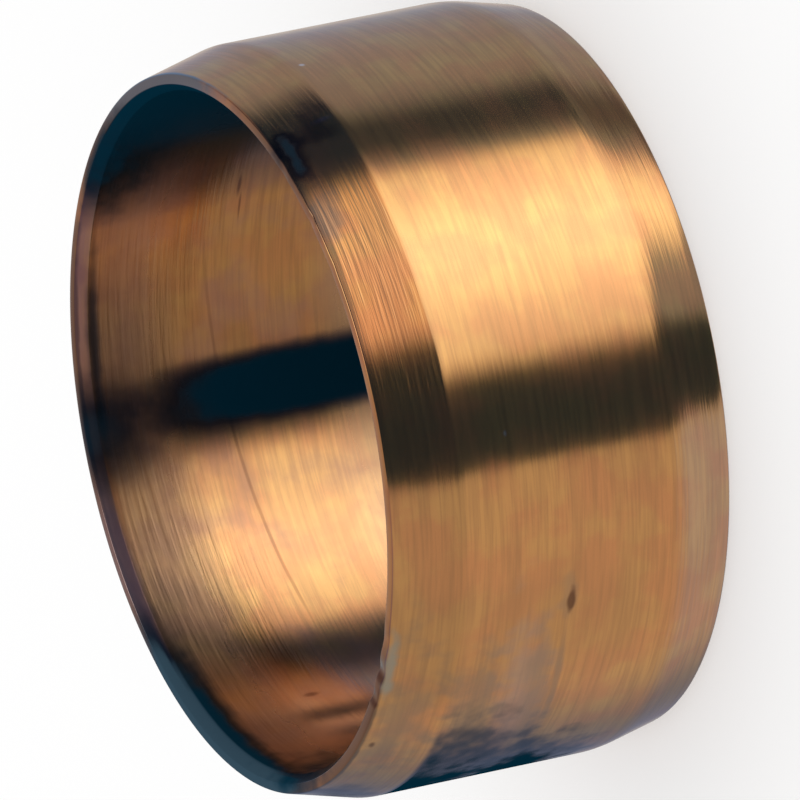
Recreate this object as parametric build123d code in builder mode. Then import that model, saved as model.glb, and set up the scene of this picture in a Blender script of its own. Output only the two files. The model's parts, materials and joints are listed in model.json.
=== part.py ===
"""Compression ring (olive) of turned brass for a 15 mm tube.

One piece: a thin band with a straight bore, a plain land round its middle and a
seat cone at each end.  The ring stands on its lower end, the axis of the bore is
Z, and the origin is where that axis meets the resting face.  Millimetres.
"""
import math
import os

from build123d import *

# Tube and bore
tube_diameter = 15.0
slip_on_gap = 0.1  # between tube and bore, all round
bore_radius = tube_diameter / 2 + slip_on_gap

# Land, the widest part of the band
land_diameter = 16.8
land_radius = land_diameter / 2
ring_length = 8.15

# Seat cones: the upper one is cut a little longer than the lower one
upper_cone_length = 1.6
upper_cone_angle = 14.0  # degrees, between the cone's side and the axis
lower_cone_length = 1.3
lower_cone_angle = 13.0

# Lead-in that is broken into each mouth of the bore
lead_in_width = 0.18
lead_in_depth = 0.25

# Softened corners
shoulder_radius = 0.8  # where a cone runs into the land
lip_edge_radius = 0.05  # outer edge of each flat lip

# Radii and heights that follow from these
upper_lip_radius = land_radius - upper_cone_length * math.tan(math.radians(upper_cone_angle))
lower_lip_radius = land_radius - lower_cone_length * math.tan(math.radians(lower_cone_angle))
mouth_radius = bore_radius + lead_in_width
upper_shoulder_height = ring_length - upper_cone_length

os.makedirs("parts", exist_ok=True)

with BuildPart() as compression_ring:
    # Half of the section, radius across and height up, as a lathe would cut it
    with BuildSketch(Plane.XZ) as section:
        with BuildLine():
            Polyline(
                (mouth_radius, 0),
                (lower_lip_radius, 0),
                (land_radius, lower_cone_length),
                (land_radius, upper_shoulder_height),
                (upper_lip_radius, ring_length),
                (mouth_radius, ring_length),
                (bore_radius, ring_length - lead_in_depth),
                (bore_radius, lead_in_depth),
                close=True,
            )
        make_face()
        # The two corners on the land are the widest points of the section
        shoulders = section.vertices().group_by(Axis.X)[-1]
        fillet(shoulders, radius=shoulder_radius)
        # The outer corner of each lip is the wider one at its height
        lower_lip_edge = section.vertices().group_by(Axis.Y)[0].sort_by(Axis.X)[-1]
        upper_lip_edge = section.vertices().group_by(Axis.Y)[-1].sort_by(Axis.X)[-1]
        fillet([lower_lip_edge, upper_lip_edge], radius=lip_edge_radius)
    revolve(axis=Axis.Z)

compression_ring.part.label = "compression_ring"
export_step(compression_ring.part, "parts/compression_ring.step")

print(f"bore {2 * bore_radius:.2f}, land {land_diameter:.2f}, length {ring_length:.2f}")
print(f"lips {2 * upper_lip_radius:.2f} upper and {2 * lower_lip_radius:.2f} lower")
print(f"volume {compression_ring.part.volume:.1f} cubic millimetres")
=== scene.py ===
"""Turned brass compression ring on a pale floor, with the studio round it.

The file is laid out as an add-on and run as a script: each piece has an operator,
the sizes and colours are properties, and main() calls the operators in order.
Lengths are in metres, and the ring stands on its lower lip with its axis on Z.
"""

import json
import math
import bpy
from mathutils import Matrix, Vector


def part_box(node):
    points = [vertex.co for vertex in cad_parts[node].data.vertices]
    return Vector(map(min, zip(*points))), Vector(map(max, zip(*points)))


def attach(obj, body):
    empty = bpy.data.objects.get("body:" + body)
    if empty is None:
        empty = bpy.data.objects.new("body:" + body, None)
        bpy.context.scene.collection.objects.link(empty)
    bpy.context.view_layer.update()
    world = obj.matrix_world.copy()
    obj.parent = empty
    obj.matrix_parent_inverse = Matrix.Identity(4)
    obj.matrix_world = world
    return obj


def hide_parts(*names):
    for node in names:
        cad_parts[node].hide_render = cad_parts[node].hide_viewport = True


bl_info = {
    "name": "Compression Ring",
    "version": (1, 0, 0),
    "blender": (4, 5, 0),
    "location": "View3D > Sidebar > Compression Ring",
    "description": "Builds a turned and tarnished brass compression ring and its studio",
    "category": "Add Mesh",
}

from typing import NamedTuple

import bmesh
import bpy
from mathutils import Matrix, Vector

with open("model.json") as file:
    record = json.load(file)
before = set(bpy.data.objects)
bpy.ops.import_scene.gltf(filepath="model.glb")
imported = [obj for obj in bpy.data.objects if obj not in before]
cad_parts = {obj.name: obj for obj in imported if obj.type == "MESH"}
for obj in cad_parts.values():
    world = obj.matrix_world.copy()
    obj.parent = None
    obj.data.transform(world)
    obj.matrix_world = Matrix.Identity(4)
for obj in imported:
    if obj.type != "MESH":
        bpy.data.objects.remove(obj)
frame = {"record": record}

MM = 0.001
NODE = "compression_ring"
LOW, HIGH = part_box(NODE)
BORE = next(m for m in frame["record"]["mounts"] if m["name"] == "bore")


# Sizes and colours that a user would change


class RingSizes(bpy.types.PropertyGroup):
    """Sizes of the turned section"""

    land_radius: bpy.props.FloatProperty(
        name="Land radius",
        description="Radius of the plain land round the middle",
        default=HIGH.x,
        unit="LENGTH",
        precision=5,
    )
    length: bpy.props.FloatProperty(
        name="Length",
        description="From the lower lip to the upper lip",
        default=HIGH.z - LOW.z,
        unit="LENGTH",
        precision=5,
    )
    bore_radius: bpy.props.FloatProperty(
        name="Bore radius",
        description="Radius of the straight bore",
        default=BORE["dims"]["r_mm"] * MM,
        unit="LENGTH",
        precision=5,
    )
    upper_cone: bpy.props.FloatProperty(
        name="Upper cone",
        description="Length of the upper seat cone along the axis",
        default=1.6 * MM,
        unit="LENGTH",
        precision=5,
    )
    upper_angle: bpy.props.FloatProperty(
        name="Upper angle",
        description="Between the side of the upper cone and the axis",
        default=math.radians(14),
        subtype="ANGLE",
    )
    lower_cone: bpy.props.FloatProperty(
        name="Lower cone",
        description="Length of the lower seat cone along the axis",
        default=1.3 * MM,
        unit="LENGTH",
        precision=5,
    )
    lower_angle: bpy.props.FloatProperty(
        name="Lower angle",
        description="Between the side of the lower cone and the axis",
        default=math.radians(13),
        subtype="ANGLE",
    )
    lead_in_width: bpy.props.FloatProperty(
        name="Lead-in width",
        description="How far the mouth of the bore opens, on the radius",
        default=0.18 * MM,
        unit="LENGTH",
        precision=5,
    )
    lead_in_depth: bpy.props.FloatProperty(
        name="Lead-in depth",
        description="How far the lead-in goes down the bore",
        default=0.25 * MM,
        unit="LENGTH",
        precision=5,
    )
    upper_shoulder: bpy.props.FloatProperty(
        name="Upper shoulder",
        description="Radius where the upper cone runs into the land",
        default=0.8 * MM,
        unit="LENGTH",
        precision=5,
    )
    lower_shoulder: bpy.props.FloatProperty(
        name="Lower shoulder",
        description="Radius where the lower cone runs into the land; more worn than the upper one",
        default=2.0 * MM,
        unit="LENGTH",
        precision=5,
    )
    lip_edge: bpy.props.FloatProperty(
        name="Lip edge",
        description="Radius of the outer edge of each lip",
        default=0.05 * MM,
        unit="LENGTH",
        precision=5,
    )
    mouth_edge: bpy.props.FloatProperty(
        name="Mouth edge",
        description="Radius of the inner edge of each lip",
        default=0.03 * MM,
        unit="LENGTH",
        precision=5,
    )


class BrassFinish(bpy.types.PropertyGroup):
    """Colours and gloss of the brass"""

    metal: bpy.props.FloatVectorProperty(
        name="Metal",
        description="Colour of the clean turned brass",
        default=(0.80, 0.44, 0.16),
        min=0,
        max=1,
        subtype="COLOR",
    )
    copper: bpy.props.FloatVectorProperty(
        name="Copper tone",
        description="Colour of the redder patches and streaks",
        default=(0.78, 0.37, 0.15),
        min=0,
        max=1,
        subtype="COLOR",
    )
    tarnish: bpy.props.FloatVectorProperty(
        name="Tarnish",
        description="Colour of the brass where it has darkened",
        default=(0.50, 0.27, 0.12),
        min=0,
        max=1,
        subtype="COLOR",
    )
    # Also the colour of the painted dark reflection in the bore and of the painted shade by the lower lip
    stain: bpy.props.FloatVectorProperty(
        name="Stain",
        description="Blue-black colour of the stains and of the film in the bore",
        default=(0.001, 0.024, 0.045),
        min=0,
        max=1,
        subtype="COLOR",
    )
    roughness: bpy.props.FloatProperty(
        name="Roughness",
        description="Roughness of the brass between its turning marks",
        default=0.15,
        min=0,
        max=1,
        subtype="FACTOR",
    )


class StudioSettings(bpy.types.PropertyGroup):
    """Floor, light and camera"""

    floor_colour: bpy.props.FloatVectorProperty(
        name="Floor",
        description="Colour of the pale floor",
        default=(0.6, 0.6, 0.6),
        min=0,
        max=1,
        subtype="COLOR",
    )
    camera_tilt: bpy.props.FloatProperty(
        name="Camera tilt",
        description="Height of the camera above the horizon",
        default=0.4188,
        subtype="ANGLE",
    )
    camera_roll: bpy.props.FloatProperty(
        name="Axis slope",
        description="Slope of the ring's axis in the picture, from level",
        default=0.2018,
        subtype="ANGLE",
    )
    camera_distance: bpy.props.FloatProperty(
        name="Camera distance",
        description="From the camera to the middle of the ring",
        default=60 * HIGH.x,
        unit="LENGTH",
    )


# Helpers for node trees


class Tree:
    """A node tree that is filled by short calls; an input may be a number, a colour or a socket"""

    def __init__(self, owner):
        owner.use_nodes = True
        self.nodes = owner.node_tree.nodes
        self.links = owner.node_tree.links
        self.nodes.clear()

    def add(self, kind, settings=None, inputs=None):
        node = self.nodes.new(kind)
        for name, value in (settings or {}).items():
            setattr(node, name, value)
        for name, value in (inputs or {}).items():
            self.set(node.inputs[name], value)
        return node

    def set(self, socket, value):
        if isinstance(value, bpy.types.NodeSocket):
            self.links.new(value, socket)
        else:
            socket.default_value = value

    def math(self, operation, first, second=0.0):
        return self.add("ShaderNodeMath", {"operation": operation}, {0: first, 1: second}).outputs[0]

    def product(self, *factors):
        result = factors[0]
        for factor in factors[1:]:
            result = self.math("MULTIPLY", result, factor)
        return result

    def ease(self, value, start, end, low=0.0, high=1.0):
        """low up to start, high from end on, and eased between them"""
        settings = {"interpolation_type": "SMOOTHSTEP"}
        ends = {"Value": value, "From Min": start, "From Max": end, "To Min": low, "To Max": high}
        return self.add("ShaderNodeMapRange", settings, ends).outputs["Result"]

    def length(self, vector):
        return self.add("ShaderNodeVectorMath", {"operation": "LENGTH"}, {0: vector}).outputs["Value"]

    def noise(self, vector, scale=1.0, detail=2.0):
        inputs = {"Vector": vector, "Scale": scale, "Detail": detail}
        return self.add("ShaderNodeTexNoise", None, inputs).outputs[0]

    def mix(self, factor, first, second, blend="MIX"):
        node = self.add("ShaderNodeMix", {"data_type": "RGBA", "blend_type": blend})
        self.set(node.inputs["Factor"], factor)
        self.set(node.inputs[6], first)
        self.set(node.inputs[7], second)
        return node.outputs[2]

    def ramp(self, value, stops):
        """Colour and cover blended from stop to stop, each a place, a colour and a cover"""
        node = self.add("ShaderNodeValToRGB", None, {0: value})
        elements = node.color_ramp.elements
        while len(elements) < len(stops):
            elements.new(0.5)
        for element, (place, rgb, cover) in zip(elements, stops):
            element.position = place
            element.color = (*rgb, cover)
        return node.outputs["Color"], node.outputs["Alpha"]


def colour(rgb):
    return (*rgb, 1.0)


# Brass


class Mark(NamedTuple):
    """A patch on the ring: where it is, half its size, and how much of its colour it takes

    Radius, height and sizes are in millimetres and the angle is in degrees.  The lean turns
    the patch on the surface, soft is the share of its size over which its edge fades, and
    ragged is how far its edge wanders, as a share of its size too.  A square mark has blunt
    ends, and the others are oval.  A stain without a colour takes the finish's stain colour.
    """

    radius: float
    angle: float
    height: float
    round: float
    up: float
    strength: float
    rgb: tuple = ()
    lean: float = 0.0
    soft: float = 0.8
    ragged: float = 0.10
    square: bool = False


MARK_DEPTH = 0.5 * MM  # half the reach of a mark into and out of the surface
GREY_BROWN = (0.36, 0.26, 0.17)
DULL_BROWN = (0.18, 0.12, 0.08)
GREY_LILAC = (0.46, 0.36, 0.31)
GREY_GREEN = (0.42, 0.42, 0.33)
DULL_MAUVE = (0.45, 0.34, 0.34)
SLATE = (0.15, 0.24, 0.31)
SLATE_FILM = (0.035, 0.07, 0.10)
PALE_BRASS = (0.66, 0.43, 0.25)
PALE = (0.95, 0.75, 0.62)
MAUVE = (0.75, 0.48, 0.44)
DARK_BROWN = (0.12, 0.05, 0.03)
PURPLE_BROWN = (0.34, 0.18, 0.14)

# Blue-black film, and the greyer film on the lead-in; three are painted dark instead: a painted reflection
# down the bore and in its mouth, and painted shade by the lower lip
STAINS_AND_PAINTED_DARK = {
    "smudge_by_lip": Mark(8.05, -45, 7.85, 1.25, 0.42, 0.72, soft=0.8, ragged=0.2),
    "smudge_on_cone": Mark(8.2, -41, 7.1, 0.8, 0.6, 0.30, ragged=0.3),
    "stain_on_cone": Mark(8.2, -182, 7.4, 2.4, 1.4, 0.65, soft=0.9),
    "film_top_in_mouth": Mark(7.7, 31, 7.9, 2.6, 2.2, 0.80, soft=0.9),
    "film_low_in_mouth": Mark(7.7, 151, 8.2, 5.0, 1.0, 0.85, soft=0.6, ragged=0.05, square=True),
    "film_on_lead_in": Mark(7.69, 151, 8.15, 5.2, 0.28, 0.9, SLATE_FILM, soft=0.4, ragged=0.0, square=True),
    # Painted reflection: blue-black that carries the dark reflection band on into the mouth of the bore
    "dark_reflection_painted_in_mouth": Mark(7.7, 85.5, 8.0, 1.7, 2.2, 0.65, soft=0.9, ragged=0.05),
    "film_below_lead_in": Mark(7.62, 70, 7.78, 3.2, 0.22, 0.45, soft=0.9),
    "film_down_the_side": Mark(7.6, 180, 7.2, 2.9, 3.0, 0.7, soft=0.95, ragged=0.2),
    # Painted reflection: a blue-black stripe down the bore where the dark card's reflection falls
    "dark_reflection_painted_in_bore": Mark(7.6, 83, 1.9, 0.98, 5.7, 0.9, soft=0.5, ragged=0.03, square=True),
    # Painted shade: blue-black on the near wall, hidden from the camera, that darkens what the far wall
    # reflects
    "shade_painted_by_lower_lip": Mark(7.6, -108, 0.9, 3.8, 1.8, 0.95),
}
# Blue-black stains that end where the land does
LAND_STAINS = {
    "stain_by_cone": Mark(8.4, -180, 6.9, 5.6, 4.9, 0.97, soft=0.75, ragged=0.10),
    "stain_further": Mark(8.4, -180, 3.6, 3.8, 2.4, 0.97, soft=0.75, ragged=0.12),
}
# Patches of another colour, and painted shade in two dents of the lip
PATCHES = {
    "grey_run_wide": Mark(8.4, -147, 4.75, 3.8, 1.0, 0.5, GREY_LILAC, lean=4, ragged=0.25),
    "grey_run_from_nick": Mark(8.4, -147, 4.35, 3.6, 0.5, 0.5, GREY_BROWN, lean=4, ragged=0.2),
    "grey_run_edge": Mark(8.4, -143, 3.95, 2.4, 0.14, 0.6, GREY_BROWN, lean=2),
    "grey_patch_on_land": Mark(8.4, -148, 5.9, 2.8, 1.0, 0.6, GREY_BROWN, ragged=0.3),
    "grey_patch_on_cone": Mark(8.2, -146, 7.5, 3.2, 1.2, 0.6, GREY_BROWN, ragged=0.3),
    "slate_on_lip": Mark(7.9, 2, 8.15, 4.9, 0.12, 0.9, SLATE, soft=0.5),
    "brown_on_lip_above": Mark(7.9, -44, 8.15, 2.9, 0.12, 0.8, DULL_BROWN),
    "brown_on_lip_below": Mark(7.9, -154, 8.15, 4.4, 0.12, 0.8, DULL_BROWN, soft=0.5),
    "brown_on_lip_behind": Mark(7.9, 86, 8.15, 7.0, 0.12, 0.8, DULL_BROWN, soft=0.4),
    "brown_by_lip": Mark(8.05, -58, 7.85, 1.1, 0.5, 0.75, GREY_BROWN, ragged=0.3),
    "mauve_low_in_bore": Mark(7.6, 160, 6.0, 4.8, 5.0, 0.75, DULL_MAUVE, soft=0.9),
    "mauve_on_lead_in": Mark(7.69, 108, 8.05, 3.2, 0.3, 0.6, DULL_MAUVE, soft=0.6),
    "mauve_high_in_bore": Mark(7.6, 36, 7.0, 3.0, 2.5, 0.6, DULL_MAUVE, soft=0.9),
    "bruise_by_lip": Mark(8.0, -135, 8.0, 1.2, 0.20, 0.8, GREY_GREEN, ragged=0.3),
    # Painted shade: dark brown in the two deepest dents of the bruised lip
    "bruise_painted_shade": Mark(7.82, -137, 8.15, 0.30, 0.12, 0.9, DARK_BROWN),
    "bruise_painted_shade_below": Mark(7.85, -143, 8.15, 0.18, 0.12, 0.8, DARK_BROWN),
    "spot_by_lip": Mark(8.05, -153.5, 7.87, 0.17, 0.10, 0.7, DARK_BROWN),
    "smear_at_nick": Mark(8.4, -125.5, 4.0, 0.9, 0.24, 0.4, GREY_BROWN, ragged=0.3),
    "nick_in_land": Mark(8.4, -126.5, 3.94, 0.42, 0.11, 0.75, DARK_BROWN, ragged=0.4),
    "mauve_scratch": Mark(8.3, -41, 6.9, 0.13, 0.38, 0.55, MAUVE, ragged=0.25),
    "fleck_on_land": Mark(8.4, -26, 6.3, 0.09, 0.09, 0.9, PALE),
    "fleck_high_on_land": Mark(8.4, -98, 5.4, 0.09, 0.05, 0.8, PALE),
    "dash_in_bore": Mark(7.6, 45, 4.34, 0.45, 0.07, 0.75, DARK_BROWN),
    "dash_tail_in_bore": Mark(7.6, 49.5, 4.26, 0.5, 0.045, 0.6, DARK_BROWN),
    "dash_low_in_bore": Mark(7.6, 142, 5.4, 0.12, 0.28, 0.65, DARK_BROWN),
}

# Dents of the upper lip: degrees, then half the width and the depth in millimetres
LIP_DENTS = (
    (-47, 0.30, 0.012),
    (-58, 0.22, 0.015),
    (-67, 0.30, 0.010),
    (-130, 0.45, 0.020),
    (-136, 0.35, 0.040),
    (-142, 0.30, 0.025),
)
DENT_REACH = 0.3 * MM
DENT_SPREAD = 0.3  # metal pushed outwards, as a share of that pushed down

# Tarnish and painted shade of the bore, darkest towards +X: millimetres on X, share of the clean colour
# that is left after tarnish and painted shade, and cover of blue-black film
BORE_TARNISH_AND_SHADE = (
    (-7.7, (0.70, 0.75, 0.85), 0.15),
    (-7.0, (0.75, 0.75, 0.85), 0.05),
    (-6.0, (0.75, 0.72, 0.75), 0.0),
    (-4.4, (0.90, 0.90, 0.95), 0.0),
    (0.3, (0.95, 0.95, 1.0), 0.0),
    (2.1, (0.60, 0.58, 0.56), 0.0),
    (3.3, (0.68, 0.68, 0.60), 0.0),
    (5.0, (0.62, 0.58, 0.56), 0.0),
    (5.9, (0.50, 0.52, 0.70), 0.25),
    (6.7, (0.30, 0.35, 0.50), 0.75),
    (7.7, (0.20, 0.25, 0.30), 0.95),
)

# Size of the clouds of noise in the brass
CLOUD_SIZE = 1.1 * MM
HAZE_SIZE = 3.5 * MM
MOTTLE_SIZE = 1.5 * MM
RAGGED_SIZE = 0.6 * MM

# Turning marks: their size on X and Y, their size along the axis, and a seed
FINE_MARKS = (1.6 * MM, 0.07 * MM, 3.0)
COARSE_MARKS = (2.2 * MM, 0.13 * MM, 7.0)
BROAD_MARKS = (3 * MM, 0.16 * MM, 11.0)
RELIEF_DEPTH = 0.02 * MM

# Distances from a lip between which a zone of the surface fades in or out
CONE_ZONE = (1.7 * MM, 1.4 * MM)
LAND_EDGE = (1.75 * MM, 1.55 * MM)
LIP_ZONE = (0.06 * MM, 0.02 * MM)
MOUTH_ZONE = (2.8 * MM, 1.2 * MM)


class Zones(NamedTuple):
    """How far a point lies in each part of the ring's surface, from 0 to 1"""

    inside: bpy.types.NodeSocket
    on_cone: bpy.types.NodeSocket
    on_land: bpy.types.NodeSocket
    on_lip: bpy.types.NodeSocket
    by_mouth: bpy.types.NodeSocket


class Grain(NamedTuple):
    """Noise in the brass: turning marks of three widths and clouds of two sizes"""

    fine: bpy.types.NodeSocket
    coarse: bpy.types.NodeSocket
    broad: bpy.types.NodeSocket
    cloud: bpy.types.NodeSocket
    haze: bpy.types.NodeSocket


def marks_round(tree, place, along, across, seed):
    """Noise drawn out round the ring: along and across are the size of a mark"""
    stretch = {"Vector": place, "Location": (seed, seed, seed), "Scale": (1 / along, 1 / along, 1 / across)}
    return tree.noise(tree.add("ShaderNodeMapping", None, stretch).outputs[0])


def mark_cover(tree, spot, ragged, mark):
    """How much of a mark covers each point, whose spot is its radius, angle and height"""
    radius, angle, height = spot
    past_centre = tree.math("SUBTRACT", angle, math.radians(mark.angle))
    wrapped = tree.add("ShaderNodeMath", {"operation": "WRAP"}, {0: past_centre, 1: math.pi, 2: -math.pi})
    from_centre = {
        "X": tree.math("SUBTRACT", radius, mark.radius * MM),
        "Y": tree.product(wrapped.outputs[0], mark.radius * MM),
        "Z": tree.math("SUBTRACT", height, mark.height * MM),
    }
    mapping = {
        "Vector": tree.add("ShaderNodeCombineXYZ", None, from_centre).outputs[0],
        "Rotation": (math.radians(mark.lean), 0, 0),
        "Scale": (MARK_DEPTH, mark.round * MM, mark.up * MM),
    }
    local = tree.add("ShaderNodeMapping", {"vector_type": "TEXTURE"}, mapping).outputs[0]
    if mark.square:
        squares = tree.add("ShaderNodeVectorMath", {"operation": "MULTIPLY"}, {0: local, 1: local})
        distance = tree.math("SQRT", tree.length(squares.outputs[0]))
    else:
        distance = tree.length(local)
    distance = tree.math("ADD", distance, tree.product(ragged, mark.ragged))
    return tree.ease(distance, 1 - mark.soft, 1.0, mark.strength, 0.0)


def darkening(tree, cover):
    """Share of a stain's colour; it rises early, because the first of the film is what shows most"""
    clean = tree.math("SUBTRACT", 1.0, cover)
    return tree.math("SUBTRACT", 1.0, tree.math("POWER", clean, 3.0))


def hairline_cover(tree, spot):
    """A scratch that runs down the bore as it goes round"""
    radius, angle, height = spot
    start_angle, end_angle = math.radians(38), math.radians(128)
    start_height, end_height = 5.25 * MM, 4.3 * MM
    half_core, half_width = 0.015 * MM, 0.06 * MM
    fade_in, fade_out = 0.9, 0.2  # radians
    fall = (end_height - start_height) / (end_angle - start_angle)
    line = tree.math("ADD", tree.math("MULTIPLY", angle, fall), start_height - fall * start_angle)
    gap = tree.math("ABSOLUTE", tree.math("SUBTRACT", height, line))
    thin = tree.ease(gap, half_core, half_width, 1.0, 0.0)
    begun = tree.ease(angle, start_angle, start_angle + fade_in)
    ended = tree.ease(angle, end_angle - fade_out, end_angle, 1.0, 0.0)
    in_bore = tree.ease(radius, 7.62 * MM, 7.66 * MM, 1.0, 0.0)
    return tree.product(thin, begun, ended, in_bore)


def towards_lips(tree, height, length, zone, low=0.0, high=1.0):
    """Eased from low to high towards both lips, between a zone's two distances from them"""
    middle = length / 2
    start, full = zone
    from_middle = tree.math("ABSOLUTE", tree.math("SUBTRACT", height, middle))
    return tree.ease(from_middle, middle - start, middle - full, low, high)


def ring_zones(tree, spot, sizes):
    """The bore with its lead-ins, the outside, and the parts of each"""
    radius, _, height = spot
    mouth = sizes.bore_radius + sizes.lead_in_width
    inside = tree.ease(radius, mouth - 0.02 * MM, mouth + 0.01 * MM, 1.0, 0.0)
    outside = tree.math("SUBTRACT", 1.0, inside)
    length = sizes.length
    return Zones(
        inside=inside,
        on_cone=tree.product(outside, towards_lips(tree, height, length, CONE_ZONE)),
        on_land=tree.product(outside, towards_lips(tree, height, length, LAND_EDGE, 1.0, 0.0)),
        on_lip=tree.product(outside, towards_lips(tree, height, length, LIP_ZONE)),
        by_mouth=tree.product(inside, towards_lips(tree, height, length, MOUTH_ZONE)),
    )


def brass_grain(tree, place):
    return Grain(
        fine=marks_round(tree, place, *FINE_MARKS),
        coarse=marks_round(tree, place, *COARSE_MARKS),
        broad=marks_round(tree, place, *BROAD_MARKS),
        cloud=tree.noise(place, 1 / CLOUD_SIZE, 4.0),
        haze=tree.noise(place, 1 / HAZE_SIZE),
    )


def turned_colour(tree, grain, zones, finish):
    """Clean brass with copper patches, and tarnish in clouds and along its turning marks"""
    tarnish = colour(finish.tarnish)
    base = tree.mix(tree.ease(grain.cloud, 0.38, 0.62), colour(finish.metal), colour(finish.copper))
    base = tree.mix(tree.ease(grain.broad, 0.40, 0.68, 0.0, 0.32), base, tarnish)
    base = tree.mix(tree.ease(grain.fine, 0.42, 0.66, 0.0, 0.35), base, tarnish)
    base = tree.mix(tree.ease(grain.haze, 0.50, 0.68, 0.0, 0.30), base, tarnish)
    return tree.mix(tree.product(zones.on_lip, 0.15), base, colour(GREY_BROWN))


def bore_tarnish_and_shade(tree, x):
    """Share of the clean colour left by tarnish and painted shade, and cover of film, from side to side of
    the bore
    """
    widest = BORE_TARNISH_AND_SHADE[-1][0]
    across = tree.math("DIVIDE", x, 2 * widest * MM)
    stops = [((at + widest) / (2 * widest), rgb, cover) for at, rgb, cover in BORE_TARNISH_AND_SHADE]
    return tree.ramp(tree.math("ADD", across, 0.5), stops)


def finish_bore(tree, base, share, place, spot, zones):
    """Lays the tarnish and painted shade, the pale metal by the mouths, the mottling and the scratch over
    the bore
    """
    # The share darkens the bore with tarnish and painted shade
    base = tree.mix(zones.inside, base, share, "MULTIPLY")
    base = tree.mix(tree.product(zones.by_mouth, 0.5), base, colour(PALE_BRASS))
    mottled = tree.ease(tree.noise(place, 1 / MOTTLE_SIZE, 4.0), 0.42, 0.68, 0.0, 0.5)
    base = tree.mix(tree.product(mottled, zones.inside), base, colour(PURPLE_BROWN))
    return tree.mix(tree.product(hairline_cover(tree, spot), 0.40), base, colour(DARK_BROWN))


def lay_marks(tree, base, film, place, spot, zones, finish):
    """Lays patches, film and stains over the brass, with painted shade and a painted dark reflection among
    them; gives its colour and how far stains and painted dark cover it
    """
    ragged = tree.ease(tree.noise(place, 1 / RAGGED_SIZE), 0.25, 0.75, -1.0, 1.0)
    for patch in PATCHES.values():
        base = tree.mix(mark_cover(tree, spot, ragged, patch), base, colour(patch.rgb))
    stain_and_painted_dark_cover = tree.product(film, zones.inside)
    base = tree.mix(darkening(tree, stain_and_painted_dark_cover), base, colour(finish.stain))
    placed = [(stain, 1.0) for stain in STAINS_AND_PAINTED_DARK.values()]
    placed += [(stain, zones.on_land) for stain in LAND_STAINS.values()]
    # Among these are a painted dark reflection and painted shade
    for stain, where in placed:
        cover = tree.product(mark_cover(tree, spot, ragged, stain), where)
        base = tree.mix(darkening(tree, cover), base, colour(stain.rgb or finish.stain))
        stain_and_painted_dark_cover = tree.math("MAXIMUM", stain_and_painted_dark_cover, cover)
    return base, stain_and_painted_dark_cover


def brass_material(sizes, finish):
    """Turned brass with patches of tarnish, a bore darkened by tarnish and painted shade, stains, painted
    shade in lip dents and the bore, a painted dark reflection in the bore, and a few marks
    """
    brass = bpy.data.materials.new("turned_brass")
    tree = Tree(brass)
    place = tree.add("ShaderNodeTexCoord").outputs["Object"]
    x, y, height = tree.add("ShaderNodeSeparateXYZ", None, {0: place}).outputs
    radius = tree.length(tree.add("ShaderNodeCombineXYZ", None, {"X": x, "Y": y}).outputs[0])
    spot = (radius, tree.math("ARCTAN2", y, x), height)
    zones = ring_zones(tree, spot, sizes)
    grain = brass_grain(tree, place)
    share, film = bore_tarnish_and_shade(tree, x)

    base = turned_colour(tree, grain, zones, finish)
    base = finish_bore(tree, base, share, place, spot, zones)
    base, stain_and_painted_dark_cover = lay_marks(tree, base, film, place, spot, zones, finish)

    roughness = tree.ease(grain.cloud, 0.3, 0.7, finish.roughness - 0.02, finish.roughness + 0.03)
    roughness = tree.math("ADD", roughness, tree.product(stain_and_painted_dark_cover, 0.15))
    roughness = tree.math("ADD", roughness, tree.product(zones.by_mouth, 0.16))
    turned = tree.math("ADD", tree.product(zones.on_cone, 0.15), 0.09)
    relief = tree.math("ADD", tree.product(grain.fine, turned), tree.product(grain.haze, 0.25))
    relief = tree.math("ADD", relief, tree.product(grain.coarse, zones.by_mouth, 0.25))
    bump = {"Strength": 1.0, "Distance": RELIEF_DEPTH, "Height": relief}

    surface = {
        "Base Color": base,
        "Metallic": tree.ease(stain_and_painted_dark_cover, 0.5, 0.9, 1.0, 0.0),
        "Roughness": roughness,
        "Specular IOR Level": 0.0,
        "Normal": tree.add("ShaderNodeBump", None, bump).outputs[0],
    }
    shader = tree.add("ShaderNodeBsdfPrincipled", None, surface)
    tree.add("ShaderNodeOutputMaterial", None, {"Surface": shader.outputs[0]})
    return brass


# Ring

ROUND_STEPS = 512
LONGEST_EDGE = 0.16 * MM
MERGE_DISTANCE = 0.0005 * MM


def section_corners(sizes):
    """Corners of the half section, anticlockwise from the inner edge of the lower lip"""
    mouth = sizes.bore_radius + sizes.lead_in_width
    lower_lip = sizes.land_radius - sizes.lower_cone * math.tan(sizes.lower_angle)
    upper_lip = sizes.land_radius - sizes.upper_cone * math.tan(sizes.upper_angle)
    top = sizes.length
    return [
        (mouth, 0.0),
        (lower_lip, 0.0),
        (sizes.land_radius, sizes.lower_cone),
        (sizes.land_radius, top - sizes.upper_cone),
        (upper_lip, top),
        (mouth, top),
        (sizes.bore_radius, top - sizes.lead_in_depth),
        (sizes.bore_radius, sizes.lead_in_depth),
    ]


def round_corner(mesh, vert, radius, segments):
    """Rounds one corner of the section's face"""
    first, second = [edge.other_vert(vert).co - vert.co for edge in vert.link_edges]
    turn = math.pi - first.angle(second)
    bmesh.ops.bevel(
        mesh,
        geom=[vert],
        offset=radius * math.tan(turn / 2),
        offset_type="OFFSET",
        affect="VERTICES",
        segments=segments,
        profile=0.5,
        material=-1,
    )


def divide_long_edges(mesh, longest):
    for edge in list(mesh.edges):
        cuts = math.ceil(edge.calc_length() / longest) - 1
        if cuts > 0:
            bmesh.ops.subdivide_edges(mesh, edges=[edge], cuts=cuts)


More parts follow.
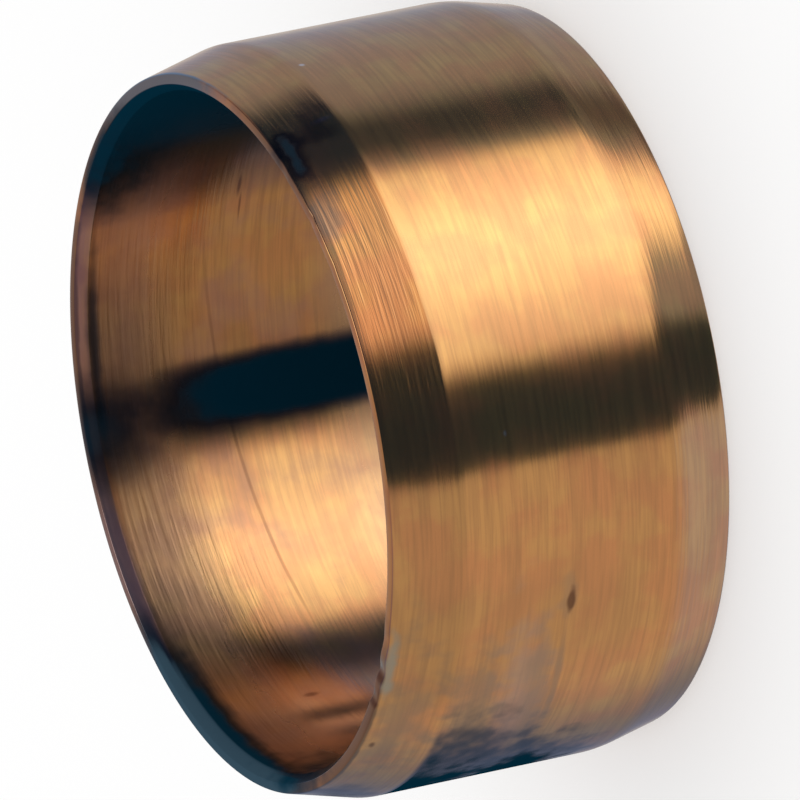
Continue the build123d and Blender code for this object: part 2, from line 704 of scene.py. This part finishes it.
def dent_upper_lip(mesh, sizes):
    """Presses the dents into the upper lip: metal goes down and a little outwards"""
    near_lip = [vert for vert in mesh.verts if vert.co.z > sizes.length - DENT_REACH]
    for angle, half_width, depth in LIP_DENTS:
        middle = Vector((math.cos(math.radians(angle)), math.sin(math.radians(angle)), 0))
        for vert in near_lip:
            outwards = Vector((vert.co.x, vert.co.y, 0)).normalized()
            away = (outwards - middle).length * sizes.land_radius / (half_width * MM)
            if away < 1:
                deep = 1 - (sizes.length - vert.co.z) / DENT_REACH
                push = depth * MM * deep * (1 + math.cos(math.pi * away)) / 2
                vert.co += outwards * push * DENT_SPREAD - Vector((0, 0, push))


def build_ring(sizes, finish):
    mesh = bmesh.new()
    corners = [mesh.verts.new((x, 0.0, z)) for x, z in section_corners(sizes)]
    mesh.faces.new(corners)
    for number, radius, segments in (
        (0, sizes.mouth_edge, 3),
        (1, sizes.lip_edge, 4),
        (2, sizes.lower_shoulder, 6),
        (3, sizes.upper_shoulder, 6),
        (4, sizes.lip_edge, 4),
        (5, sizes.mouth_edge, 3),
        (6, sizes.lip_edge, 3),
        (7, sizes.lip_edge, 3),
    ):
        round_corner(mesh, corners[number], radius, segments)
    bmesh.ops.delete(mesh, geom=list(mesh.faces), context="FACES_ONLY")
    divide_long_edges(mesh, LONGEST_EDGE)
    bmesh.ops.spin(
        mesh,
        geom=list(mesh.verts) + list(mesh.edges),
        axis=(0, 0, 1),
        cent=(0, 0, 0),
        angle=2 * math.pi,
        steps=ROUND_STEPS,
        use_merge=True,
    )
    bmesh.ops.remove_doubles(mesh, verts=list(mesh.verts), dist=MERGE_DISTANCE)
    dent_upper_lip(mesh, sizes)
    bmesh.ops.recalc_face_normals(mesh, faces=list(mesh.faces))
    for face in mesh.faces:
        face.smooth = True

    data = bpy.data.meshes.new("ring_band")
    mesh.to_mesh(data)
    mesh.free()
    ring = bpy.data.objects.new("ring_band", data)
    bpy.context.scene.collection.objects.link(ring)
    data.materials.append(brass_material(sizes, finish))
    shading = ring.modifiers.new("even_shading", "WEIGHTED_NORMAL")
    shading.weight = 80
    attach(ring, "root")
    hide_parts(NODE)
    return ring


class RING_OT_build_ring(bpy.types.Operator):
    """Turns the ring's section round its axis and gives it its tarnished brass"""

    bl_idname = "ring.build_ring"
    bl_label = "Build ring"

    def execute(self, context):
        build_ring(context.scene.ring_sizes, context.scene.ring_finish)
        return {"FINISHED"}


# Studio


class Card(NamedTuple):
    """A soft-edged card of the studio, which the brass reflects

    Each edge has its place and half its softness in degrees: left and right are counted
    from the camera's side towards +X, and bottom and top are heights above the horizon.
    The lean says how far the bottom and the top rise for each degree to the right.
    """

    left: tuple
    right: tuple
    bottom: tuple
    top: tuple
    rgb: tuple
    lean: tuple = (0.0, 0.0)


NADIR = (-91, 1)
ZENITH = (91, 1)

# Later cards cover earlier ones.  The room behind is in two cards, one on each side of the
# line where the angle round jumps from 180 degrees to -180.
CARDS = {
    "room_behind": Card((166, 8), (200, 1), NADIR, (8, 8), (0.62, 0.60, 0.57)),
    "ceiling": Card((-200, 1), (200, 1), (12, 8), ZENITH, (0.45, 0.36, 0.36)),
    "mauve_wall": Card((-120, 20), (-36, 8), (32, 5), (62, 8), (0.30, 0.25, 0.46)),
    "dark_ceiling": Card((4, 8), (150, 20), (30, 8), (62, 6), (0.05, 0.06, 0.14)),
    "side_wall": Card((-128, 36), (-10, 2), NADIR, (12, 8), (0.58, 0.52, 0.50)),
    "wall_by_horizon": Card((-108, 34), (-10, 2), (-14, 8), (12, 8), (0.50, 0.46, 0.45)),
    "glow_below": Card((-200, 1), (-28, 4), NADIR, (-38, 11), (0.50, 0.56, 0.85)),
    "shade_at_side": Card((-200, 1), (-128, 24), NADIR, (12, 6), (0.20, 0.24, 0.36)),
    "room_behind_again": Card((-200, 1), (-172, 8), NADIR, (8, 8), (0.62, 0.60, 0.57)),
    "black_card": Card((-26, 1), (9, 4), NADIR, (60, 6), (0.03, 0.05, 0.085)),
    "softbox_rim": Card((5, 6), (70, 5), (-24, 9), (10, 4), (1.05, 0.74, 0.58), (-0.6, -0.15)),
    "softbox": Card((5, 6), (70, 5), (-24, 9), (2, 6), (1.25, 1.25, 1.25), (-0.6, -0.15)),
    "softbox_middle": Card((26, 16), (56, 14), (-20, 14), (-3, 9), (1.95, 1.95, 2.0), (-0.6, 0.0)),
    "black_card_top": Card((-26, 1), (16, 5), (-6, 6), (60, 6), (0.025, 0.04, 0.075)),
    "dark_card": Card((75, 6), (97, 8), (-34, 5), (60, 6), (0.05, 0.07, 0.12)),
    "dark_card_low": Card((80, 9), (104, 9), NADIR, (-34, 5), (0.10, 0.11, 0.16)),
    "dark_beam": Card((68, 6), (108, 8), (-12, 6), (30, 8), (0.02, 0.04, 0.10)),
    "small_lamp": Card((60, 20), (150, 20), (60, 5), (85, 4), (1.6, 1.6, 1.6)),
}
ROOM = (0.32, 0.39, 0.54)
FLOOR_HALF_SIZE = 2.0


def past(tree, value, edge, low=0.0, high=1.0):
    """Eased from low to high where value passes an edge, in degrees: its place and half its softness"""
    place, softness = edge
    return tree.ease(value, math.radians(place - softness), math.radians(place + softness), low, high)


def card_cover(tree, round_angle, height_angle, card):
    """How much of a card is in each direction"""
    sides = [past(tree, round_angle, card.left), past(tree, round_angle, card.right, 1.0, 0.0)]
    bottom_lean, top_lean = card.lean
    over_bottom = tree.math("SUBTRACT", height_angle, tree.math("MULTIPLY", round_angle, bottom_lean))
    over_top = tree.math("SUBTRACT", height_angle, tree.math("MULTIPLY", round_angle, top_lean))
    above_bottom = past(tree, over_bottom, card.bottom)
    below_top = past(tree, over_top, card.top, 1.0, 0.0)
    return tree.product(*sides, above_bottom, below_top)


def studio_world():
    """White for the camera and for the floor's light; soft cards for the brass to reflect"""
    world = bpy.data.worlds.new("studio")
    bpy.context.scene.world = world
    tree = Tree(world)
    toward = tree.add("ShaderNodeTexCoord").outputs["Generated"]
    x, y, z = tree.add("ShaderNodeSeparateXYZ", None, {0: toward}).outputs
    round_angle = tree.math("ARCTAN2", x, tree.math("MULTIPLY", y, -1.0))
    height_angle = tree.math("ARCSINE", z)

    seen = colour(ROOM)
    for card in CARDS.values():
        seen = tree.mix(card_cover(tree, round_angle, height_angle, card), seen, colour(card.rgb))

    glossy = tree.add("ShaderNodeLightPath").outputs["Is Glossy Ray"]
    shown = tree.mix(glossy, colour((1.0, 1.0, 1.0)), seen)
    light = tree.add("ShaderNodeBackground", None, {"Color": shown, "Strength": 1.0})
    tree.add("ShaderNodeOutputWorld", None, {"Surface": light.outputs[0]})
    world.cycles.sampling_method = "NONE"
    return world


def floor_material(settings):
    paper = bpy.data.materials.new("pale_floor")
    tree = Tree(paper)
    matt = tree.add("ShaderNodeBsdfDiffuse", None, {"Color": colour(settings.floor_colour)})
    to_camera = tree.add("ShaderNodeLightPath").outputs["Is Camera Ray"]
    lift = [1.0 - level for level in settings.floor_colour]
    glow = tree.add("ShaderNodeEmission", None, {"Color": colour(lift), "Strength": to_camera})
    both = tree.add("ShaderNodeAddShader", None, {0: matt.outputs[0], 1: glow.outputs[0]})
    tree.add("ShaderNodeOutputMaterial", None, {"Surface": both.outputs[0]})
    paper.cycles.emission_sampling = "NONE"
    return paper


def build_floor(settings):
    mesh = bmesh.new()
    bmesh.ops.create_grid(mesh, x_segments=1, y_segments=1, size=FLOOR_HALF_SIZE)
    data = bpy.data.meshes.new("pale_floor")
    mesh.to_mesh(data)
    mesh.free()
    data.materials.append(floor_material(settings))
    floor = bpy.data.objects.new("pale_floor", data)
    bpy.context.scene.collection.objects.link(floor)
    floor.visible_glossy = False
    return floor


def build_camera(settings):
    """The camera looks down at the ring, and is rolled so that its upper end points left"""
    tilt, roll = settings.camera_tilt, settings.camera_roll
    focus_px = 22991
    picture_px = 800
    offset_px = Vector((-4.6, 0.27))
    data = bpy.data.cameras.new("camera")
    data.sensor_width = 36.0
    data.lens = data.sensor_width * focus_px / picture_px
    data.clip_start = 0.01
    data.clip_end = 10.0
    back = Vector((0, -math.cos(tilt), math.sin(tilt)))
    up = Vector((0, math.sin(tilt), math.cos(tilt)))
    side = Vector((1, 0, 0))
    right = -math.cos(roll) * up - math.sin(roll) * side
    top = -math.sin(roll) * up + math.cos(roll) * side
    metres_per_px = settings.camera_distance / focus_px
    centre = Vector((0, 0, HIGH.z / 2))
    place = centre + back * settings.camera_distance
    place += (top * offset_px.y - right * offset_px.x) * metres_per_px
    camera = bpy.data.objects.new("camera", data)
    camera.matrix_world = Matrix.Translation(place) @ Matrix((right, top, back)).transposed().to_4x4()
    bpy.context.scene.collection.objects.link(camera)
    bpy.context.scene.camera = camera
    return camera


class RING_OT_build_studio(bpy.types.Operator):
    """Lays the pale floor, sets up the light and places the camera"""

    bl_idname = "ring.build_studio"
    bl_label = "Build studio"

    def execute(self, context):
        settings = context.scene.ring_studio
        build_floor(settings)
        studio_world()
        build_camera(settings)
        context.scene.view_settings.view_transform = "Standard"
        return {"FINISHED"}


class RING_PT_panel(bpy.types.Panel):
    """Lists the pieces and their settings"""

    bl_idname = "RING_PT_panel"
    bl_label = "Compression Ring"
    bl_space_type = "VIEW_3D"
    bl_region_type = "UI"
    bl_category = "Compression Ring"

    def draw(self, context):
        layout = self.layout
        for group in (context.scene.ring_sizes, context.scene.ring_finish, context.scene.ring_studio):
            box = layout.box()
            for name in group.__annotations__:
                box.prop(group, name)
        layout.operator("ring.build_ring")
        layout.operator("ring.build_studio")


CLASSES = (
    RingSizes,
    BrassFinish,
    StudioSettings,
    RING_OT_build_ring,
    RING_OT_build_studio,
    RING_PT_panel,
)


def register():
    for cls in CLASSES:
        bpy.utils.register_class(cls)
    bpy.types.Scene.ring_sizes = bpy.props.PointerProperty(type=RingSizes)
    bpy.types.Scene.ring_finish = bpy.props.PointerProperty(type=BrassFinish)
    bpy.types.Scene.ring_studio = bpy.props.PointerProperty(type=StudioSettings)


def unregister():
    del bpy.types.Scene.ring_studio
    del bpy.types.Scene.ring_finish
    del bpy.types.Scene.ring_sizes
    for cls in reversed(CLASSES):
        bpy.utils.unregister_class(cls)


def main():
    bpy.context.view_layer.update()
    register()
    bpy.ops.ring.build_ring()
    bpy.ops.ring.build_studio()


if __name__ == "__main__":
    main()
